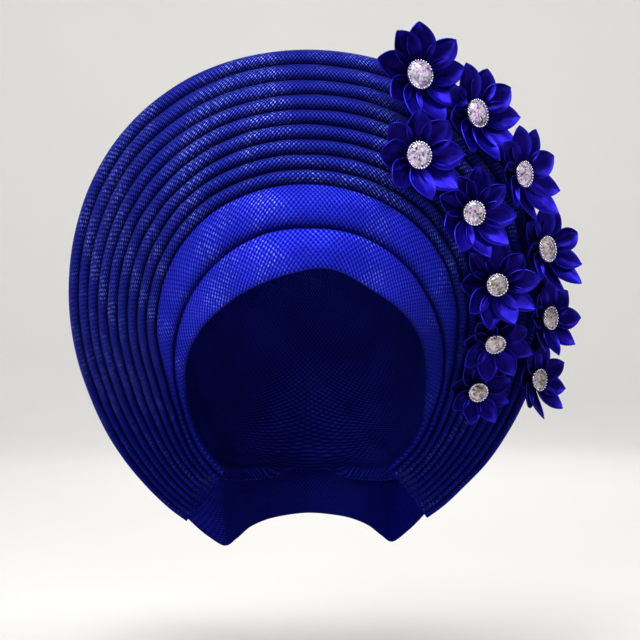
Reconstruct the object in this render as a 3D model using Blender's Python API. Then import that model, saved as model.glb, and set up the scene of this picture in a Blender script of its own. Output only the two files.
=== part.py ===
"""Ready-tied gele head tie: two plain brow folds, a fan of nine rounded knife
pleats, the crown wrap, the strip tied behind the neck, and a spray of ribbon
flowers with rhinestone centres.

Frame: +X is the wearer's left, +Y the back of the head, +Z up.  The origin is
the top of the wearer's head, under the crown wrap.  The tables are in
millimetres; the meshes are made in metres.

Every fold of the front is laid out in polar form around FAN_CENTRE: the angle
is 0 at the top and grows towards +X.  A radius in the tables is the one seen
from FACING_POINT on the middle plane of the head (y = 0); ray() carries it
along that sight line to the depth where the cloth really lies.
"""
import math

import bmesh
import bpy
from mathutils import Matrix, Vector

# ------------------------------------------------------------ driving sizes
MM = 0.001
CLOTH = 1.0             # wall of every cloth piece
GAP = 0.3               # air kept between neighbouring pieces
FACING_POINT = (7.0, -800.0, -69.0)
FAN_CENTRE = (-0.3, -93.3)          # x, z on the middle plane
PLEATS = 9
STEP_BASE = 2.8         # how far one fold steps behind the last: base ...
STEP_SHARE = 0.22       # ... plus this share of the pleat pitch
LAP_SHARE = 0.28        # how far a pleat is tucked under its neighbour
LAP_FROM = 3.5          # pitch below which the pleats only touch, edge on
DISH = 0.39             # depth of the fan halfway out, as a share of its depth
FAN_END = 143.0         # the folds are gathered at this angle on both sides
CROWN_BACK = (0.0, 98.0)            # pole of the crown wrap: radius, y
TIE_CLOTH = 1.2

# One row for each ray through the folds.
#  hem    lower edge of the brow band         brow   outer fold of the brow band
#  upper  outer fold of the upper band        rim    outer edge of the last pleat
#  y_...  depth of each
FOLD_COLUMNS = ("angle", "hem", "brow", "upper", "rim",
                "y_hem", "y_brow", "y_upper", "y_rim")
FOLDS = (
    (-143, 83.5, 88.0, 92.4, 123.2, 10, 10, 10, 16),
    (-130, 81.5, 86.0, 90.4, 124.6, 6, 6, 6, 15),
    (-120, 79.5, 83.8, 88.0, 127.0, 2, 2, 2, 13),
    (-110, 77.8, 81.8, 86.2, 130.4, -3, -3, -3, 11),
    (-100, 75.6, 81.2, 86.4, 134.6, -12, -12, -12, 8),
    (-90, 73.7, 81.0, 89.2, 140.6, -24, -24, -23, 4),
    (-80, 70.4, 81.1, 93.5, 147.5, -38, -36, -35, -1),
    (-70, 66.5, 81.2, 97.1, 155.1, -53, -49, -46, -6),
    (-60, 62.3, 81.2, 100.8, 163.3, -67, -62, -57, -10),
    (-50, 59.0, 81.2, 103.8, 171.6, -77, -72, -66, -14),
    (-40, 56.6, 81.2, 105.9, 178.9, -85, -80, -72, -17),
    (-30, 54.9, 81.2, 107.4, 184.2, -90, -85, -76, -19),
    (-20, 54.0, 81.2, 107.7, 187.7, -93, -89, -79, -20),
    (-10, 54.2, 80.8, 107.7, 189.2, -95, -91, -80, -21),
    (0, 55.6, 80.3, 107.4, 189.6, -95, -91, -80, -21),
    (10, 57.2, 80.9, 107.2, 189.2, -95, -91, -80, -21),
    (20, 57.7, 81.8, 106.8, 187.7, -93, -89, -79, -20),
    (30, 57.5, 82.3, 106.3, 184.2, -90, -85, -76, -19),
    (40, 58.1, 82.5, 105.2, 178.9, -85, -80, -72, -17),
    (50, 60.4, 82.5, 103.2, 171.6, -77, -72, -66, -14),
    (60, 63.8, 82.2, 100.2, 163.3, -67, -62, -57, -10),
    (70, 67.3, 82.3, 96.3, 155.1, -53, -49, -46, -6),
    (80, 69.6, 82.6, 92.3, 147.5, -38, -36, -35, -1),
    (90, 71.0, 82.5, 89.4, 140.6, -24, -24, -23, 4),
    (100, 72.7, 82.4, 87.4, 134.8, -12, -12, -12, 8),
    (110, 75.3, 82.2, 86.8, 129.6, -3, -3, -3, 11),
    (120, 78.3, 83.2, 87.6, 125.7, 2, 2, 2, 13),
    (130, 80.0, 84.3, 88.6, 122.3, 6, 6, 6, 15),
    (143, 80.2, 84.3, 88.5, 120.8, 10, 10, 10, 16),
)

# Free edge of the crown wrap, as true radius and depth, both sides alike.
#  round  how full the wrap is between this edge and the back of the head
CROWN_COLUMNS = ("angle", "radius", "y", "round")
CROWN = (
    (0, 96.0, -71.5, 3.3),
    (30, 93.5, -68.5, 3.2),
    (60, 90.0, -49.5, 3.0),
    (90, 83.0, -14.8, 2.7),
    (100, 82.0, -5.2, 2.6),
    (110, 81.8, 3.0, 2.5),
    (120, 82.5, 8.0, 2.4),
    (130, 85.0, 12.0, 2.3),
    (138, 87.0, 16.0, 2.2),
    (145, 85.0, 36.0, 2.0),
    (152, 80.5, 55.0, 2.0),
    (162, 75.0, 69.5, 2.0),
    (172, 72.5, 73.5, 2.0),
    (180, 72.0, 74.0, 2.0),
)

# The tied strip, one row for each station from the right-hand gather round
# the neck to the left-hand one: its upper and its lower edge.
TIE_COLUMNS = ("x_top", "y_top", "z_top", "x_low", "y_low", "z_low")
TIE = (
    (-63.5, 22.5, -163.0, -80.0, 22.5, -187.5),
    (-60.5, 23.0, -165.0, -75.0, 21.8, -193.0),
    (-57.5, 26.0, -164.5, -63.0, 20.5, -203.5),
    (-55.5, 33.0, -163.0, -52.0, 23.0, -210.0),
    (-52.0, 48.0, -161.5, -46.5, 41.0, -208.5),
    (-44.5, 69.0, -160.5, -38.5, 60.5, -204.0),
    (-25.5, 87.0, -159.0, -21.0, 74.5, -199.5),
    (0.0, 92.0, -158.0, 0.0, 78.5, -197.5),
    (25.5, 87.0, -159.0, 21.0, 74.5, -199.0),
    (44.5, 69.0, -160.5, 38.5, 60.5, -203.0),
    (52.0, 48.0, -161.5, 46.5, 41.0, -206.5),
    (55.5, 33.0, -163.0, 51.5, 23.0, -207.5),
    (57.5, 26.0, -164.5, 61.5, 20.5, -200.5),
    (60.5, 23.0, -164.5, 72.0, 21.8, -190.0),
    (63.0, 22.5, -162.0, 77.0, 22.5, -183.5),
)

# The flowers.  x and z are the rhinestone's place as seen from the facing
# point, on the middle plane; turn is to the wearer's left, tip is downwards.
FLOWER_COLUMNS = ("x", "y", "z", "radius", "stone", "turn", "tip",
                  "petals", "spin")
FLOWERS = (
    (68.3, -46, 80.3, 28.5, 17.6, 28, -3, 9, 0),
    (103.5, -35, 56.6, 28.0, 17.2, 40, -4, 9, 12),
    (67.7, -72, 31.2, 24.5, 16.0, 25, 1, 8, 40),
    (132.0, -27, 19.6, 27.0, 15.8, 45, 0, 9, 25),
    (101.1, -61, -4.1, 23.5, 14.6, 24, 3, 9, 10),
    (146.0, -17, -25.9, 25.0, 16.0, 43, -3, 9, 23),
    (115.0, -50, -47.8, 23.0, 13.6, 15, 4, 9, 38),
    (147.8, -10, -67.8, 21.5, 14.6, 46, 0, 8, 43),
    (113.8, -31, -84.2, 20.0, 12.8, 10, 30, 8, 10),
    (141.1, -3, -105.4, 21.5, 14.0, 45, 1, 8, 12),
    (103.5, -16, -113.3, 18.5, 12.6, 14, 20, 8, 14),
)


# ------------------------------------------------------------ table reading
def row_dicts(columns, rows):
    return [dict(zip(columns, row)) for row in rows]


def smooth(xs, ys, x):
    """Cubic through the table's points, without overshoot at a turn."""
    last = len(xs) - 1
    if x <= xs[0]:
        i = 0
    elif x >= xs[-1]:
        i = last - 1
    else:
        i = max(k for k in range(last) if xs[k] <= x)

    def slope(k):
        if k == 0:
            return (ys[1] - ys[0]) / (xs[1] - xs[0])
        if k == last:
            return (ys[-1] - ys[-2]) / (xs[-1] - xs[-2])
        a = (ys[k] - ys[k - 1]) / (xs[k] - xs[k - 1])
        b = (ys[k + 1] - ys[k]) / (xs[k + 1] - xs[k])
        if a * b <= 0:
            return 0.0
        return 2 * a * b / (a + b)

    h = xs[i + 1] - xs[i]
    t = (x - xs[i]) / h
    if t < 0 or t > 1:
        end = 0 if t < 0 else last
        return ys[end] + slope(end) * (x - xs[end])
    return ((2 * t**3 - 3 * t**2 + 1) * ys[i]
            + (t**3 - 2 * t**2 + t) * h * slope(i)
            + (3 * t**2 - 2 * t**3) * ys[i + 1]
            + (t**3 - t**2) * h * slope(i + 1))


FOLD_ROWS = row_dicts(FOLD_COLUMNS, FOLDS)
FOLD_ANGLES = [row["angle"] for row in FOLD_ROWS]
CROWN_ROWS = row_dicts(CROWN_COLUMNS, CROWN)
CROWN_ANGLES = [row["angle"] for row in CROWN_ROWS]


def fold_at(angle):
    return {name: smooth(FOLD_ANGLES, [row[name] for row in FOLD_ROWS], angle)
            for name in FOLD_COLUMNS[1:]}


def crown_at(angle):
    return {name: smooth(CROWN_ANGLES, [row[name] for row in CROWN_ROWS],
                         abs(angle))
            for name in CROWN_COLUMNS[1:]}


# -------------------------------------------------------- fan's own geometry
def reach(y):
    """Scale of the sight line at depth y."""
    return 1.0 + y / -FACING_POINT[1]


def place(angle, radius, y):
    """Point at a true radius and depth on the ray of this angle."""
    k = reach(y)
    cx = FACING_POINT[0] + (FAN_CENTRE[0] - FACING_POINT[0]) * k
    cz = FACING_POINT[2] + (FAN_CENTRE[1] - FACING_POINT[2]) * k
    a = math.radians(angle)
    return Vector((cx + radius * math.sin(a), y, cz + radius * math.cos(a)))


def ray(x, y, z):
    """Point at depth y seen at (x, z) on the middle plane."""
    k = reach(y)
    return Vector((FACING_POINT[0] + (x - FACING_POINT[0]) * k, y,
                   FACING_POINT[2] + (z - FACING_POINT[2]) * k))


class Section:
    """The fold line of one ray: depth against seen radius, and its frame."""

    def __init__(self, angle):
        self.angle = angle
        row = fold_at(angle)
        self.row = row
        half = 0.5 * (row["upper"] + row["rim"])
        self.rs = [row["hem"], row["brow"], row["upper"], half, row["rim"]]
        self.ys = [row["y_hem"], row["y_brow"], row["y_upper"],
                   row["y_upper"] + DISH * (row["y_rim"] - row["y_upper"]),
                   row["y_rim"]]
        self.pitch = self.chord(row["upper"], row["rim"]) / PLEATS
        self.step = STEP_BASE + STEP_SHARE * self.pitch
        self.lap = max(0.0, LAP_SHARE * (self.pitch - LAP_FROM))

    def line(self, r):
        y = smooth(self.rs, self.ys, r)
        return Vector((r * reach(y), y))

    def chord(self, r0, r1, parts=6):
        pts = [self.line(r0 + (r1 - r0) * i / parts)
               for i in range(parts + 1)]
        return sum((b - a).length for a, b in zip(pts, pts[1:]))

    def fold(self, r0, r1, profile):
        """Local (along, out) points of a fold between radii r0 and r1."""
        length = self.chord(r0, r1)
        pts = []
        for along, out in profile(length, self):
            r = r0 + (r1 - r0) * along / length
            here = self.line(r)
            ahead = self.line(r + 0.5) - self.line(r - 0.5)
            ahead.normalize()
            pts.append(here + out * Vector((ahead.y, -ahead.x)))
        return pts


def edge_round(length):
    return min(1.4, 0.28 * length)


def brow_profile(length, s):
    e, leg = edge_round(length), s.step - 1.8
    flat = length - 2 * e
    tail = min(8.0, 0.38 * flat)
    puff = min(1.2, 0.05 * length)
    return ((e + tail, -leg), (e, -leg), (0.4, -0.5 * leg), (e, -0.1 * leg),
            (e + 0.33 * flat, puff), (e + 0.67 * flat, puff),
            (length - e, -0.08 * leg), (length - 0.5, -0.5 * leg),
            (length - e, -leg), (length - e - tail, -leg))


def upper_profile(length, s):
    e, leg, h = edge_round(length), s.step - 1.8, s.step
    lead = min(7.0, 0.5 * s.chord(s.row["hem"], s.row["brow"]))
    tail = max(length - 9.5, 0.63 * length)
    return ((-lead, -h), (0.75, -0.92 * h), (0.6 + 0.14 * length, -0.45 * h),
            (0.42 * length, -0.08 * h), (0.64 * length, 0.0),
            (length - e, -0.1 * h), (length - 0.5, -0.5 * leg),
            (length - 0.7, -0.85 * leg), (tail, -leg))


def pleat_profile(d, s):
    h = s.step
    return ((0.75 + 0.02 * d, -0.86 * h), (0.9 + 0.14 * d, -0.30 * h),
            (0.1 + 0.52 * d, 0.0), (0.84 * d - 0.2, -0.10 * h),
            (d - 0.5, -0.36 * h), (d - 0.9 - s.lap, -0.72 * h))


# --------------------------------------------------------------- cloth walls
def two_sides(line, thickness):
    """Both faces of a wall along a 2-D middle line, with mitred corners."""
    left, right = [], []
    for i, p in enumerate(line):
        a = (line[i] - line[i - 1]).normalized() if i else None
        b = ((line[i + 1] - line[i]).normalized()
             if i + 1 < len(line) else None)
        a, b = a or b, b or a
        n = Vector((-a.y, a.x)) + Vector((-b.y, b.x))
        n *= min(2.0 / max(n.length_squared, 1e-9), 1.35)
        left.append(p + n * thickness / 2)
        right.append(p - n * thickness / 2)
    return left, right


def wall(name, front, back, loop=False, material=None):
    """Closed solid between two grids of points, front[i][j] and back[i][j].
    With loop the first and last rows join and the last column is a pole."""
    bm = bmesh.new()
    rows, cols = len(front), len(front[0])
    last = cols - 1 if loop else cols
    grids = []
    for grid in (front, back):
        grids.append([[bm.verts.new(p * MM) for p in line[:last]]
                      for line in grid])
    f, b = grids
    steps = range(rows) if loop else range(rows - 1)
    for i in steps:
        k = (i + 1) % rows
        for j in range(last - 1):
            bm.faces.new((f[i][j], f[i][j + 1], f[k][j + 1], f[k][j]))
            bm.faces.new((b[i][j], b[k][j], b[k][j + 1], b[i][j + 1]))
        bm.faces.new((f[i][0], f[k][0], b[k][0], b[i][0]))
        if not loop:
            bm.faces.new((f[i][-1], b[i][-1], b[k][-1], f[k][-1]))
    if loop:
        for grid, points in ((f, front), (b, back)):
            pole = bm.verts.new(points[0][-1] * MM)
            for i in steps:
                bm.faces.new((grid[i][-1], grid[(i + 1) % rows][-1], pole))
    else:
        for i in (0, rows - 1):
            for j in range(cols - 1):
                bm.faces.new((f[i][j], b[i][j], b[i][j + 1], f[i][j + 1]))
    return finish(name, bm, material)


def finish(name, bm, material, sharp=40.0):
    bmesh.ops.triangulate(bm, faces=bm.faces[:])
    bmesh.ops.recalc_face_normals(bm, faces=bm.faces[:])
    mesh = bpy.data.meshes.new(name)
    bm.to_mesh(mesh)
    bm.free()
    mesh.shade_smooth()
    mesh.set_sharp_from_angle(angle=math.radians(sharp))
    obj = bpy.data.objects.new(name, mesh)
    bpy.context.scene.collection.objects.link(obj)
    obj.data.materials.append(material)
    return obj


def principled(name, colour, roughness, metallic, transmission=0.0):
    mat = bpy.data.materials.new(name)
    mat.use_nodes = True
    shader = mat.node_tree.nodes["Principled BSDF"]
    shader.inputs["Base Color"].default_value = (*colour, 1.0)
    shader.inputs["Roughness"].default_value = roughness
    shader.inputs["Metallic"].default_value = metallic
    shader.inputs["Transmission Weight"].default_value = transmission
    return mat


# ------------------------------------------------------------------ the folds
def fold_angles(step=10.0):
    """The rays on which the folds are cut, closer where they are gathered."""
    inner = [k * step for k in range(-13, 14)]
    return [-FAN_END] + inner + [FAN_END]


def folded_cloth(name, make_line, material):
    front, back = [], []
    for angle in fold_angles():
        line = make_line(Section(angle))
        left, right = two_sides(line, CLOTH)
        front.append([place(angle, p.x, p.y) for p in left])
        back.append([place(angle, p.x, p.y) for p in right])
    return wall(name, front, back, material=material)


def brow_line(s):
    return s.fold(s.row["hem"], s.row["brow"], brow_profile)


def upper_line(s):
    return s.fold(s.row["brow"], s.row["upper"], upper_profile)


def fan_line(s):
    """Hidden lead-in edge, then nine pleats, then the turned-back edge."""
    r0, r1 = s.row["upper"], s.row["rim"]
    lead = min(4.0, s.chord(s.row["brow"], r0) - 2.3)
    width = (r1 - r0) / PLEATS
    line = s.fold(r0, r0 + width, lambda d, s: ((-lead, -s.step),))
    for k in range(PLEATS):
        line += s.fold(r0 + k * width, r0 + (k + 1) * width, pleat_profile)
    line += s.fold(r1 - width, r1,
                   lambda d, s: ((d - 1.2 - 2.2 * s.lap, -0.95 * s.step),))
    return line


# ------------------------------------------------------------- crown and tie
def crown_wrap(material, around=36, down=7):
    front, back = [], []
    back_r, back_y = CROWN_BACK
    for i in range(around):
        angle = -180.0 + 360.0 * i / around
        row = crown_at(angle)
        line = []
        for j in range(down + 1):
            v = (j / down) ** 1.1 * math.pi / 2
            p = 2.0 / row["round"]
            line.append(Vector((row["radius"] * math.cos(v) ** p,
                                row["y"] + (back_y - row["y"])
                                * math.sin(v) ** p)))
        line[-1] = Vector((back_r, back_y))
        left, right = two_sides(line, CLOTH)
        left[-1] = Vector((0.0, back_y + CLOTH / 2))
        right[-1] = Vector((0.0, back_y - CLOTH / 2))
        if left[0].x < right[0].x:
            left, right = right, left
            left[-1], right[-1] = right[-1], left[-1]
        front.append([place(angle, p.x, p.y) for p in left])
        back.append([place(angle, p.x, p.y) for p in right])
    return wall("crown_wrap", front, back, loop=True, material=material)


def nape_tie(material, across=3):
    rows = row_dicts(TIE_COLUMNS, TIE)
    edges = [(Vector((r["x_top"], r["y_top"], r["z_top"])),
              Vector((r["x_low"], r["y_low"], r["z_low"]))) for r in rows]
    mid = [[top.lerp(low, j / across) for j in range(across + 1)]
           for top, low in edges]
    count = len(mid)
    front, back = [], []
    for i in range(count):
        f, b = [], []
        for j in range(across + 1):
            along = mid[min(i + 1, count - 1)][j] - mid[max(i - 1, 0)][j]
            over = mid[i][min(j + 1, across)] - mid[i][max(j - 1, 0)]
            n = along.cross(over).normalized() * TIE_CLOTH / 2
            f.append(mid[i][j] + n)
            b.append(mid[i][j] - n)
        front.append(f)
        back.append(b)
    return wall("nape_tie", front, back, material=material)


# ------------------------------------------------------------------- flowers
# Ribbon petal, from its valley to its tip: share of the radius, share of the
# half pitch, and rise as a share of the radius.
PETAL = {
    "valley": (0.55, 1.00, 0.10),
    "side": (0.50, 0.60, 0.13),
    "crease": (0.50, 0.00, 0.05),
    "corner": (0.80, 0.74, 0.24),
    "keel": (0.78, 0.00, 0.15),
    "tip": (1.00, 0.00, 0.28),
}
PETAL_CLOTH = 1.0
SETTING_FLOOR = 0.8
SETTING_WALL = 1.0
SETTING_HEIGHT = 3.2


def flower_mesh(radius, petals, spin):
    bm = bmesh.new()
    half = math.pi / petals

    def point(kind, petal, side):
        share, turn, rise = PETAL[kind]
        a = math.radians(spin) + 2 * half * petal + side * turn * half
        r = share * radius
        return Vector((r * math.sin(a), r * math.cos(a), rise * radius))

    layers = []
    for drop in (0.0, -PETAL_CLOTH):
        layer = {}

        def vert(key, co, drop=drop, layer=layer):
            if key not in layer:
                layer[key] = bm.verts.new((co + Vector((0, 0, drop))) * MM)
            return layer[key]

        middle = vert("middle", Vector((0.0, 0.0, 0.0)))
        tops = []
        for k in range(petals):
            v0 = vert(("v", k), point("valley", k, -1))
            v1 = vert(("v", (k + 1) % petals), point("valley", k, 1))
            s0 = vert(("s", k, 0), point("side", k, -1))
            s1 = vert(("s", k, 1), point("side", k, 1))
            c = vert(("c", k), point("crease", k, 0))
            k0 = vert(("k", k, 0), point("corner", k, -1))
            k1 = vert(("k", k, 1), point("corner", k, 1))
            g = vert(("g", k), point("keel", k, 0))
            t = vert(("t", k), point("tip", k, 0))
            tops += [(middle, v0, s0), (middle, s0, c), (middle, c, s1),
                     (middle, s1, v1), (v0, k0, s0), (s1, k1, v1),
                     (s0, k0, g, c), (c, g, k1, s1), (k0, t, g), (g, t, k1)]
        for face in tops:
            bm.faces.new(face)
        layers.append(layer)
    upper, lower = layers
    for k in range(petals):
        ring = [("v", k), ("k", k, 0), ("t", k), ("k", k, 1),
                ("v", (k + 1) % petals)]
        for a, b in zip(ring, ring[1:]):
            bm.faces.new((upper[a], lower[a], lower[b], upper[b]))
    return bm


def turned(profile, sides):
    """Solid of revolution about local z; the profile starts and ends on it."""
    bm = bmesh.new()
    rings = []
    for r, z in profile:
        if r == 0:
            rings.append([bm.verts.new(Vector((0, 0, z)) * MM)])
        else:
            rings.append([bm.verts.new(Vector(
                (r * math.cos(2 * math.pi * i / sides),
                 r * math.sin(2 * math.pi * i / sides), z)) * MM)
                for i in range(sides)])
    for a, b in zip(rings, rings[1:]):
        for i in range(sides):
            k = (i + 1) % sides
            if len(a) == 1:
                bm.faces.new((a[0], b[i], b[k]))
            elif len(b) == 1:
                bm.faces.new((a[i], a[k], b[0]))
            else:
                bm.faces.new((a[i], a[k], b[k], b[i]))
    return bm


def make_flowers(satin, metal, glass):
    for number, row in enumerate(row_dicts(FLOWER_COLUMNS, FLOWERS), 1):
        turn, tip = math.radians(row["turn"]), math.radians(row["tip"])
        facing = Vector((math.sin(turn) * math.cos(tip),
                         -math.cos(turn) * math.cos(tip), -math.sin(tip)))
        across = Vector((0, 0, 1)).cross(facing).normalized()
        up = facing.cross(across)
        frame = Matrix((across, up, facing)).transposed().to_4x4()
        stone = row["stone"] / 2
        top = ray(row["x"], row["y"], row["z"])
        # the stone's girdle stands this far in front of the petals' middle
        lift = 0.085 * row["radius"] + GAP
        frame.translation = (top - facing * (lift + SETTING_HEIGHT)) * MM

        petals = finish("flower_%02d" % number,
                        flower_mesh(row["radius"], row["petals"],
                                    row["spin"]), satin)
        petals.matrix_world = frame
        seat = frame @ Matrix.Translation(Vector((0, 0, lift)) * MM)
        rim = stone
        pocket = rim - SETTING_WALL
        setting = finish("setting_%02d" % number, turned(
            ((0, 0), (0.8 * rim, 0), (rim, 0.4 * SETTING_HEIGHT),
             (rim - 0.2, SETTING_HEIGHT), (pocket, SETTING_HEIGHT),
             (pocket, SETTING_FLOOR), (0, SETTING_FLOOR)), 16), metal)
        setting.matrix_world = seat
        gem = pocket - GAP
        floor = SETTING_FLOOR + GAP
        crystal = finish("crystal_%02d" % number, turned(
            ((0, floor), (0.8 * gem, floor), (gem, SETTING_HEIGHT),
             (0.62 * gem, SETTING_HEIGHT + 0.26 * gem),
             (0, SETTING_HEIGHT + 0.26 * gem)), 16), glass, sharp=5.0)
        crystal.matrix_world = seat


def main():
    for obj in list(bpy.data.objects):
        bpy.data.objects.remove(obj, do_unlink=True)
    cloth = principled("royal_mesh_cloth", (0.010, 0.020, 0.55), 0.42, 0.25)
    satin = principled("blue_satin", (0.016, 0.008, 0.36), 0.30, 0.0)
    metal = principled("bright_metal", (0.80, 0.80, 0.82), 0.20, 1.0)
    glass = principled("clear_crystal", (0.95, 0.95, 1.0), 0.02, 0.0, 0.9)
    folded_cloth("brow_band", brow_line, cloth)
    folded_cloth("upper_band", upper_line, cloth)
    folded_cloth("pleated_fan", fan_line, cloth)
    crown_wrap(cloth)
    nape_tie(cloth)
    make_flowers(satin, metal, glass)


main()
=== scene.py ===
"""Looks of the ready-tied gele head tie: mesh cloth folds, satin ribbon flowers
and rhinestones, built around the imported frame.

The fold tables are those of the CAD, in millimetres; meshes are in metres.
Every fold of the front is laid out in polar form: angle 0 is the top and it
grows towards +X.  Noise is read at fixed places, so each run is the same.
"""

import math
import random

import bpy
from mathutils import Matrix, Vector, noise


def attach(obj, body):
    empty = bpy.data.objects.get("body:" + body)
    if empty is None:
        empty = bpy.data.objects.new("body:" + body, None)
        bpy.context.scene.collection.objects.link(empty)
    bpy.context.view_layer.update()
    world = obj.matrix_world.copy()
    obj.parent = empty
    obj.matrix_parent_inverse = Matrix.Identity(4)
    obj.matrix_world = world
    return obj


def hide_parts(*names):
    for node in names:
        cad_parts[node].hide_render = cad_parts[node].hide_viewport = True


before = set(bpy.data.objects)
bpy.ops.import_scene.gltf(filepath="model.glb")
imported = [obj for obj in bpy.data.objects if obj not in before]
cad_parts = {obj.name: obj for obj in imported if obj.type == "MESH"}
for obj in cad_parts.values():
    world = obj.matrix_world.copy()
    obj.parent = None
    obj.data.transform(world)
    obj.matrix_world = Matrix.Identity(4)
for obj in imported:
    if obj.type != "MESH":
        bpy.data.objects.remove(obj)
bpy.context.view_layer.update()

MM = 0.001

# ------------------------------------------------------------- shape tables
CLOTH = 0.8
GAP = 0.3
FACING_POINT = (7.0, -800.0, -69.0)
FAN_CENTRE = (-0.3, -93.3)
PLEATS = 9
STEP_BASE = 2.8
STEP_SHARE = 0.22
LAP_SHARE = 0.28
LAP_FROM = 3.5
DISH = 0.39
FAN_END = 143.0
CROWN_BACK_Y = 98.0

FOLD_COLUMNS = ("angle", "hem", "brow", "upper", "rim",
                "y_hem", "y_brow", "y_upper", "y_rim")
FOLDS = (
    (-143, 83.5, 88.0, 92.4, 123.2, 10, 10, 10, 16),
    (-130, 81.5, 86.0, 90.4, 124.6, 6, 6, 6, 15),
    (-120, 79.5, 83.8, 88.0, 127.0, 2, 2, 2, 13),
    (-110, 77.8, 81.8, 86.2, 130.4, -3, -3, -3, 11),
    (-100, 75.6, 81.2, 86.4, 134.6, -12, -12, -12, 8),
    (-90, 73.7, 81.0, 89.2, 140.6, -24, -24, -23, 4),
    (-80, 70.4, 81.1, 93.5, 147.5, -38, -36, -35, -1),
    (-70, 66.5, 81.2, 97.1, 155.1, -53, -49, -46, -6),
    (-60, 62.3, 81.2, 100.8, 163.3, -67, -62, -57, -10),
    (-50, 59.0, 81.2, 103.8, 171.6, -77, -72, -66, -14),
    (-40, 56.6, 81.2, 105.9, 178.9, -85, -80, -72, -17),
    (-30, 54.9, 81.2, 107.4, 184.2, -90, -85, -76, -19),
    (-20, 54.0, 81.2, 107.7, 187.7, -93, -89, -79, -20),
    (-10, 54.2, 80.8, 107.7, 189.2, -95, -91, -80, -21),
    (0, 55.6, 80.3, 107.4, 189.6, -95, -91, -80, -21),
    (10, 57.2, 80.9, 107.2, 189.2, -95, -91, -80, -21),
    (20, 57.7, 81.8, 106.8, 187.7, -93, -89, -79, -20),
    (30, 57.5, 82.3, 106.3, 184.2, -90, -85, -76, -19),
    (40, 58.1, 82.5, 105.2, 178.9, -85, -80, -72, -17),
    (50, 60.4, 82.5, 103.2, 171.6, -77, -72, -66, -14),
    (60, 63.8, 82.2, 100.2, 163.3, -67, -62, -57, -10),
    (70, 67.3, 82.3, 96.3, 155.1, -53, -49, -46, -6),
    (80, 69.6, 82.6, 92.3, 147.5, -38, -36, -35, -1),
    (90, 71.0, 82.5, 89.4, 140.6, -24, -24, -23, 4),
    (100, 72.7, 82.4, 87.4, 134.8, -12, -12, -12, 8),
    (110, 75.3, 82.2, 86.8, 129.6, -3, -3, -3, 11),
    (120, 78.3, 83.2, 87.6, 125.7, 2, 2, 2, 13),
    (130, 80.0, 84.3, 88.6, 122.3, 6, 6, 6, 15),
    (143, 80.2, 84.3, 88.5, 120.8, 10, 10, 10, 16),
)

CROWN_COLUMNS = ("angle", "radius", "y", "round")
CROWN = (
    (0, 96.0, -71.5, 3.3),
    (30, 93.5, -68.5, 3.2),
    (60, 90.0, -49.5, 3.0),
    (90, 83.0, -14.8, 2.7),
    (100, 82.0, -5.2, 2.6),
    (110, 81.8, 3.0, 2.5),
    (120, 82.5, 8.0, 2.4),
    (130, 85.0, 12.0, 2.3),
    (138, 87.0, 16.0, 2.2),
    (145, 85.0, 36.0, 2.0),
    (152, 80.5, 55.0, 2.0),
    (162, 75.0, 69.5, 2.0),
    (172, 72.5, 73.5, 2.0),
    (180, 72.0, 74.0, 2.0),
)

TIE_COLUMNS = ("x_top", "y_top", "z_top", "x_low", "y_low", "z_low")
TIE = (
    (-63.5, 22.5, -163.0, -80.0, 22.5, -187.5),
    (-60.5, 23.0, -165.0, -75.0, 21.8, -193.0),
    (-57.5, 26.0, -164.5, -63.0, 20.5, -203.5),
    (-55.5, 33.0, -163.0, -52.0, 23.0, -210.0),
    (-52.0, 48.0, -161.5, -46.5, 41.0, -208.5),
    (-44.5, 69.0, -160.5, -38.5, 60.5, -204.0),
    (-25.5, 87.0, -159.0, -21.0, 74.5, -199.5),
    (0.0, 92.0, -158.0, 0.0, 78.5, -197.5),
    (25.5, 87.0, -159.0, 21.0, 74.5, -199.0),
    (44.5, 69.0, -160.5, 38.5, 60.5, -203.0),
    (52.0, 48.0, -161.5, 46.5, 41.0, -206.5),
    (55.5, 33.0, -163.0, 51.5, 23.0, -207.5),
    (57.5, 26.0, -164.5, 61.5, 20.5, -200.5),
    (60.5, 23.0, -164.5, 72.0, 21.8, -190.0),
    (63.0, 22.5, -162.0, 77.0, 22.5, -183.5),
)

FLOWER_COLUMNS = ("x", "y", "z", "radius", "stone", "turn", "tip",
                  "petals", "spin")
FLOWERS = (
    (68.3, -46, 80.3, 28.5, 17.6, 28, -3, 9, 0),
    (103.5, -35, 56.6, 28.0, 17.2, 40, -4, 9, 12),
    (67.7, -72, 31.2, 24.5, 16.0, 25, 1, 8, 40),
    (132.0, -27, 19.6, 27.0, 15.8, 45, 0, 9, 25),
    (101.1, -61, -4.1, 23.5, 14.6, 24, 3, 9, 10),
    (146.0, -17, -25.9, 25.0, 16.0, 43, -3, 9, 23),
    (115.0, -50, -47.8, 23.0, 13.6, 15, 4, 9, 38),
    (147.8, -10, -67.8, 21.5, 14.6, 46, 0, 8, 43),
    (113.8, -31, -84.2, 20.0, 12.8, 10, 30, 8, 10),
    (141.1, -3, -105.4, 21.5, 14.0, 45, 1, 8, 12),
    (103.5, -16, -113.3, 18.5, 12.6, 14, 20, 8, 14),
)


def row_dicts(columns, rows):
    return [dict(zip(columns, row)) for row in rows]


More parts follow.
